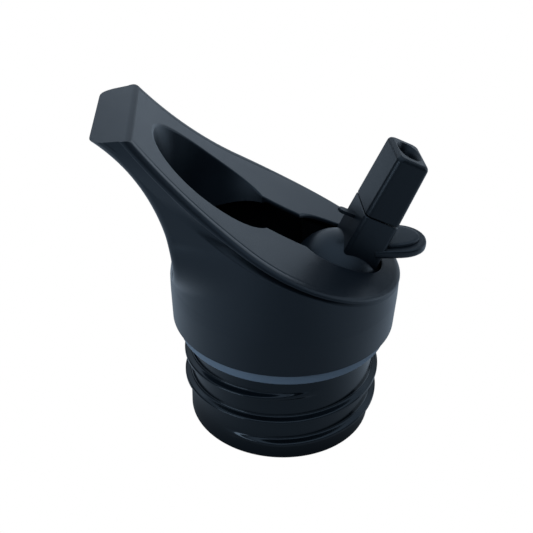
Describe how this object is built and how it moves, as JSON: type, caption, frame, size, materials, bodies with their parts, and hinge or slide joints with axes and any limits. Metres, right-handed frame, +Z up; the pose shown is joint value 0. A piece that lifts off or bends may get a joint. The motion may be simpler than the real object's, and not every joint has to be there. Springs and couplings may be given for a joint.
{
  "type": "sports bottle cap with carry handle and flip-up spout",
  "caption": "Screw-in sports bottle cap with a swooping looped carry handle, a silicone gasket and a fold-down drinking spout with a thumb paddle.",
  "frame": {"origin": "centre of the threaded plug's flat floor, on the screw axis", "axes": "+Z up along the screw axis; +X towards the front lip and thumb paddle, -X towards the handle; the spout's pivot runs along Y"},
  "size_m": [0.0746, 0.0542, 0.0791],
  "materials": {
    "shell_matte_black": "fine matte black moulding",
    "plug_gloss_black": "glossy black moulding",
    "silicone_black": "soft matte black silicone",
    "gasket_blue_grey": "satin blue-grey silicone",
    "pin_steel": "plain ground steel"
  },
  "bodies": {
    "cap_body": {"cap_shell": "shell_matte_black", "thread_plug": "plug_gloss_black", "bottle_gasket": "gasket_blue_grey", "rotor_cradle": "shell_matte_black", "pivot_pin_near": "pin_steel", "pivot_pin_far": "pin_steel", "seat_seal": "silicone_black", "vent_valve": "silicone_black"},
    "spout": {"spout_rotor": "shell_matte_black", "mouthpiece": "silicone_black", "thumb_pad": "silicone_black"}
  },
  "joints": [
    {"name": "spout_flip", "type": "hinge", "parent": "cap_body", "child": "spout", "pos_m": [0.0123, 0, 0.0375], "axis": [0, -1, 0], "range_deg": [0, 85]}
  ]
}
